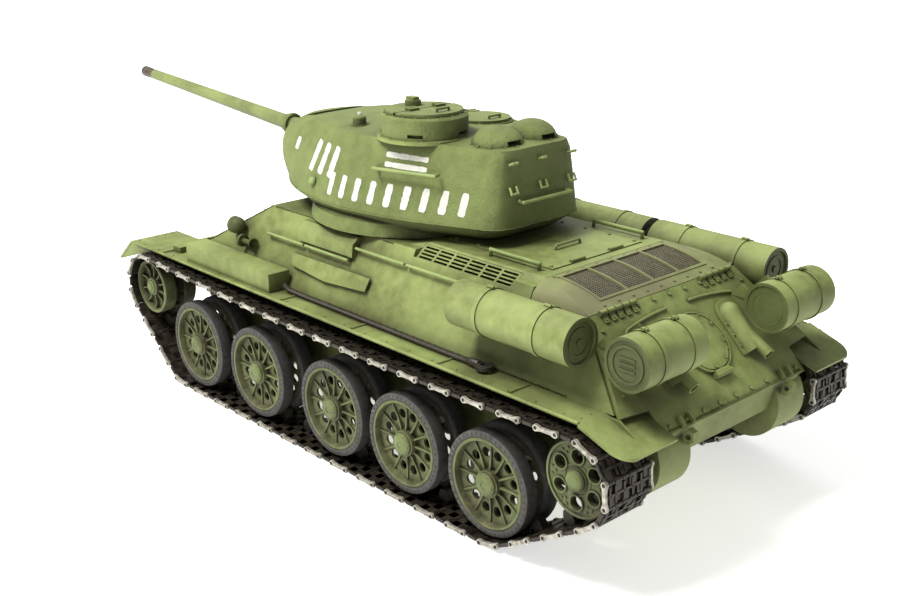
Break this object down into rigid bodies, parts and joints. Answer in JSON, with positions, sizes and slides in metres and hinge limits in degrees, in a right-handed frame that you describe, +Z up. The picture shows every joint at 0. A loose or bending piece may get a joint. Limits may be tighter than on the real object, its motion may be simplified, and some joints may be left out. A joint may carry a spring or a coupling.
{
  "type": "remote control tank",
  "caption": "Radio-controlled model tank with a rounded cast turret, elevating gun, opening hatches, sprung road wheels, link tracks, external fuel tanks and motors inside",
  "frame": {"origin": "centre of the bounding box in plan, at ground level under the tracks", "axes": "+Z up, the gun points to -Y, the tank's left side is +X"},
  "size_m": [0.186, 0.5131, 0.18],
  "materials": {
    "hull_green": "matte yellow-green paint with darker airbrushed edges",
    "dark_green": "matte dark green paint",
    "track_metal": "dark brown-black bare metal with pale link ends",
    "wheel_green": "matte green paint with dark rubber tyres",
    "bare_steel": "bare steel",
    "cable": "dark twisted wire rope",
    "battery_wrap": "blue shrink wrap",
    "board_green": "green circuit board",
    "black_plastic": "black plastic",
    "gear_plastic": "ivory nylon",
    "pinion_brass": "brass"
  },
  "bodies": {
    "hull": {"lower_hull": "dark_green", "battery_door": "hull_green", "upper_hull": "hull_green", "rear_plate": "hull_green", "deck_grilles": "hull_green", "engine_hatch": "hull_green", "fenders": "hull_green", "side_stowage": "hull_green", "fuel_tanks": "hull_green", "exhausts": "hull_green", "hull_fittings": "hull_green", "handrails": "hull_green", "tow_cable": "cable", "track_left": "track_metal", "track_right": "track_metal", "battery": "battery_wrap", "control_board": "board_green", "speaker": "black_plastic", "gearboxes": "gear_plastic", "traverse_motor": "bare_steel"},
    "turret": {"turret_shell": "hull_green", "turret_ring": "bare_steel", "cupola": "hull_green", "turret_fittings": "hull_green", "elevation_motor": "bare_steel"},
    "gun": {"mantlet": "hull_green", "gun_barrel": "hull_green"},
    "driver_hatch": {"driver_hatch": "hull_green"},
    "cupola_hatch": {"cupola_hatch": "hull_green"},
    "loader_hatch": {"loader_hatch": "hull_green"},
    "traverse_pinion": {"traverse_pinion": "pinion_brass"},
    "elevation_pinion": {"elevation_pinion": "pinion_brass"},
    "sprocket_left": {"sprocket_left": "wheel_green"},
    "idler_left": {"idler_left": "wheel_green"},
    "reduction_left": {"reduction_gear_left": "gear_plastic"},
    "motor_shaft_left": {"motor_pinion_left": "pinion_brass"},
    "arm_left_1": {"arm_left_1": "bare_steel"},
    "wheel_left_1": {"wheel_left_1": "wheel_green"},
    "arm_left_2": {"arm_left_2": "bare_steel"},
    "wheel_left_2": {"wheel_left_2": "wheel_green"},
    "arm_left_3": {"arm_left_3": "bare_steel"},
    "wheel_left_3": {"wheel_left_3": "wheel_green"},
    "arm_left_4": {"arm_left_4": "bare_steel"},
    "wheel_left_4": {"wheel_left_4": "wheel_green"},
    "arm_left_5": {"arm_left_5": "bare_steel"},
    "wheel_left_5": {"wheel_left_5": "wheel_green"},
    "sprocket_right": {"sprocket_right": "wheel_green"},
    "idler_right": {"idler_right": "wheel_green"},
    "reduction_right": {"reduction_gear_right": "gear_plastic"},
    "motor_shaft_right": {"motor_pinion_right": "pinion_brass"},
    "arm_right_1": {"arm_right_1": "bare_steel"},
    "wheel_right_1": {"wheel_right_1": "wheel_green"},
    "arm_right_2": {"arm_right_2": "bare_steel"},
    "wheel_right_2": {"wheel_right_2": "wheel_green"},
    "arm_right_3": {"arm_right_3": "bare_steel"},
    "wheel_right_3": {"wheel_right_3": "wheel_green"},
    "arm_right_4": {"arm_right_4": "bare_steel"},
    "wheel_right_4": {"wheel_right_4": "wheel_green"},
    "arm_right_5": {"arm_right_5": "bare_steel"},
    "wheel_right_5": {"wheel_right_5": "wheel_green"}
  },
  "joints": [
    {"name": "turret_traverse", "type": "hinge", "parent": "hull", "child": "turret", "pos_m": [0, 0.0336, 0.11], "axis": [0, 0, 1], "continuous": true},
    {"name": "traverse_drive", "type": "hinge", "parent": "hull", "child": "traverse_pinion", "pos_m": [0, 0.0886, 0.105], "axis": [0, 0, 1], "continuous": true},
    {"name": "gun_elevation", "type": "hinge", "parent": "turret", "child": "gun", "pos_m": [0, -0.0364, 0.142], "axis": [-1, 0, 0], "range_deg": [-8, 10]},
    {"name": "elevation_drive", "type": "hinge", "parent": "turret", "child": "elevation_pinion", "pos_m": [0, -0.0112, 0.142], "axis": [-1, 0, 0], "range_deg": [-52, 42]},
    {"name": "drive_left", "type": "hinge", "parent": "hull", "child": "sprocket_left", "pos_m": [0.06, 0.2308, 0.051], "axis": [1, 0, 0], "continuous": true},
    {"name": "idler_spin_left", "type": "hinge", "parent": "hull", "child": "idler_left", "pos_m": [0.076, -0.1134, 0.053], "axis": [1, 0, 0], "continuous": true},
    {"name": "reduction_spin_left", "type": "hinge", "parent": "hull", "child": "reduction_left", "pos_m": [0.035, 0.2112, 0.051], "axis": [1, 0, 0], "continuous": true},
    {"name": "motor_spin_left", "type": "hinge", "parent": "hull", "child": "motor_shaft_left", "pos_m": [0.03, 0.1972, 0.051], "axis": [1, 0, 0], "continuous": true},
    {"name": "swing_left_1", "type": "hinge", "parent": "hull", "child": "arm_left_1", "pos_m": [0.056, -0.0811, 0.041], "axis": [1, 0, 0], "range_deg": [0, 8], "stiffness_Nm_per_rad": 3, "springref_deg": -5.73},
    {"name": "spin_left_1", "type": "hinge", "parent": "arm_left_1", "child": "wheel_left_1", "pos_m": [0.0774, -0.0641, 0.029], "axis": [1, 0, 0], "continuous": true},
    {"name": "swing_left_2", "type": "hinge", "parent": "hull", "child": "arm_left_2", "pos_m": [0.056, -0.021, 0.041], "axis": [1, 0, 0], "range_deg": [0, 8], "stiffness_Nm_per_rad": 3, "springref_deg": -5.73},
    {"name": "spin_left_2", "type": "hinge", "parent": "arm_left_2", "child": "wheel_left_2", "pos_m": [0.0774, -0.004, 0.029], "axis": [1, 0, 0], "continuous": true},
    {"name": "swing_left_3", "type": "hinge", "parent": "hull", "child": "arm_left_3", "pos_m": [0.056, 0.0463, 0.041], "axis": [1, 0, 0], "range_deg": [0, 8], "stiffness_Nm_per_rad": 3, "springref_deg": -5.73},
    {"name": "spin_left_3", "type": "hinge", "parent": "arm_left_3", "child": "wheel_left_3", "pos_m": [0.0774, 0.0633, 0.029], "axis": [1, 0, 0], "continuous": true},
    {"name": "swing_left_4", "type": "hinge", "parent": "hull", "child": "arm_left_4", "pos_m": [0.056, 0.1031, 0.041], "axis": [1, 0, 0], "range_deg": [0, 8], "stiffness_Nm_per_rad": 3, "springref_deg": -5.73},
    {"name": "spin_left_4", "type": "hinge", "parent": "arm_left_4", "child": "wheel_left_4", "pos_m": [0.0774, 0.1201, 0.029], "axis": [1, 0, 0], "continuous": true},
    {"name": "swing_left_5", "type": "hinge", "parent": "hull", "child": "arm_left_5", "pos_m": [0.056, 0.1608, 0.041], "axis": [1, 0, 0], "range_deg": [0, 8], "stiffness_Nm_per_rad": 3, "springref_deg": -5.73},
    {"name": "spin_left_5", "type": "hinge", "parent": "arm_left_5", "child": "wheel_left_5", "pos_m": [0.0774, 0.1778, 0.029], "axis": [1, 0, 0], "continuous": true},
    {"name": "drive_right", "type": "hinge", "parent": "hull", "child": "sprocket_right", "pos_m": [-0.06, 0.2308, 0.051], "axis": [1, 0, 0], "continuous": true},
    {"name": "idler_spin_right", "type": "hinge", "parent": "hull", "child": "idler_right", "pos_m": [-0.076, -0.1134, 0.053], "axis": [1, 0, 0], "continuous": true},
    {"name": "reduction_spin_right", "type": "hinge", "parent": "hull", "child": "reduction_right", "pos_m": [-0.035, 0.2112, 0.051], "axis": [1, 0, 0], "continuous": true},
    {"name": "motor_spin_right", "type": "hinge", "parent": "hull", "child": "motor_shaft_right", "pos_m": [-0.03, 0.1972, 0.051], "axis": [1, 0, 0], "continuous": true},
    {"name": "swing_right_1", "type": "hinge", "parent": "hull", "child": "arm_right_1", "pos_m": [-0.056, -0.0811, 0.041], "axis": [1, 0, 0], "range_deg": [0, 8], "stiffness_Nm_per_rad": 3, "springref_deg": -5.73},
    {"name": "spin_right_1", "type": "hinge", "parent": "arm_right_1", "child": "wheel_right_1", "pos_m": [-0.0774, -0.0641, 0.029], "axis": [1, 0, 0], "continuous": true},
    {"name": "swing_right_2", "type": "hinge", "parent": "hull", "child": "arm_right_2", "pos_m": [-0.056, -0.021, 0.041], "axis": [1, 0, 0], "range_deg": [0, 8], "stiffness_Nm_per_rad": 3, "springref_deg": -5.73},
    {"name": "spin_right_2", "type": "hinge", "parent": "arm_right_2", "child": "wheel_right_2", "pos_m": [-0.0774, -0.004, 0.029], "axis": [1, 0, 0], "continuous": true},
    {"name": "swing_right_3", "type": "hinge", "parent": "hull", "child": "arm_right_3", "pos_m": [-0.056, 0.0463, 0.041], "axis": [1, 0, 0], "range_deg": [0, 8], "stiffness_Nm_per_rad": 3, "springref_deg": -5.73},
    {"name": "spin_right_3", "type": "hinge", "parent": "arm_right_3", "child": "wheel_right_3", "pos_m": [-0.0774, 0.0633, 0.029], "axis": [1, 0, 0], "continuous": true},
    {"name": "swing_right_4", "type": "hinge", "parent": "hull", "child": "arm_right_4", "pos_m": [-0.056, 0.1031, 0.041], "axis": [1, 0, 0], "range_deg": [0, 8], "stiffness_Nm_per_rad": 3, "springref_deg": -5.73},
    {"name": "spin_right_4", "type": "hinge", "parent": "arm_right_4", "child": "wheel_right_4", "pos_m": [-0.0774, 0.1201, 0.029], "axis": [1, 0, 0], "continuous": true},
    {"name": "swing_right_5", "type": "hinge", "parent": "hull", "child": "arm_right_5", "pos_m": [-0.056, 0.1608, 0.041], "axis": [1, 0, 0], "range_deg": [0, 8], "stiffness_Nm_per_rad": 3, "springref_deg": -5.73},
    {"name": "spin_right_5", "type": "hinge", "parent": "arm_right_5", "child": "wheel_right_5", "pos_m": [-0.0774, 0.1778, 0.029], "axis": [1, 0, 0], "continuous": true},
    {"name": "driver_hatch_hinge", "type": "hinge", "parent": "hull", "child": "driver_hatch", "pos_m": [0.02, -0.04391, 0.10811], "axis": [1, 0, 0], "range_deg": [-60, 0]},
    {"name": "cupola_hatch_hinge", "type": "hinge", "parent": "turret", "child": "cupola_hatch", "pos_m": [0.0235, 0.0664, 0.1784], "axis": [1, 0, 0], "range_deg": [0, 100]},
    {"name": "loader_hatch_hinge", "type": "hinge", "parent": "turret", "child": "loader_hatch", "pos_m": [-0.024, 0.0443, 0.166], "axis": [1, 0, 0], "range_deg": [0, 100]}
  ],
  "couplings": [
    {"joint": "traverse_drive", "follows": "turret_traverse", "ratio": -6.8571},
    {"joint": "elevation_drive", "follows": "gun_elevation", "ratio": -5},
    {"joint": "idler_spin_left", "follows": "drive_left", "ratio": 1},
    {"joint": "reduction_spin_left", "follows": "drive_left", "ratio": -3},
    {"joint": "motor_spin_left", "follows": "drive_left", "ratio": 9},
    {"joint": "spin_left_1", "follows": "drive_left", "ratio": 0.7326},
    {"joint": "spin_left_2", "follows": "drive_left", "ratio": 0.7326},
    {"joint": "spin_left_3", "follows": "drive_left", "ratio": 0.7326},
    {"joint": "spin_left_4", "follows": "drive_left", "ratio": 0.7326},
    {"joint": "spin_left_5", "follows": "drive_left", "ratio": 0.7326},
    {"joint": "idler_spin_right", "follows": "drive_right", "ratio": 1},
    {"joint": "reduction_spin_right", "follows": "drive_right", "ratio": -3},
    {"joint": "motor_spin_right", "follows": "drive_right", "ratio": 9},
    {"joint": "spin_right_1", "follows": "drive_right", "ratio": 0.7326},
    {"joint": "spin_right_2", "follows": "drive_right", "ratio": 0.7326},
    {"joint": "spin_right_3", "follows": "drive_right", "ratio": 0.7326},
    {"joint": "spin_right_4", "follows": "drive_right", "ratio": 0.7326},
    {"joint": "spin_right_5", "follows": "drive_right", "ratio": 0.7326}
  ]
}
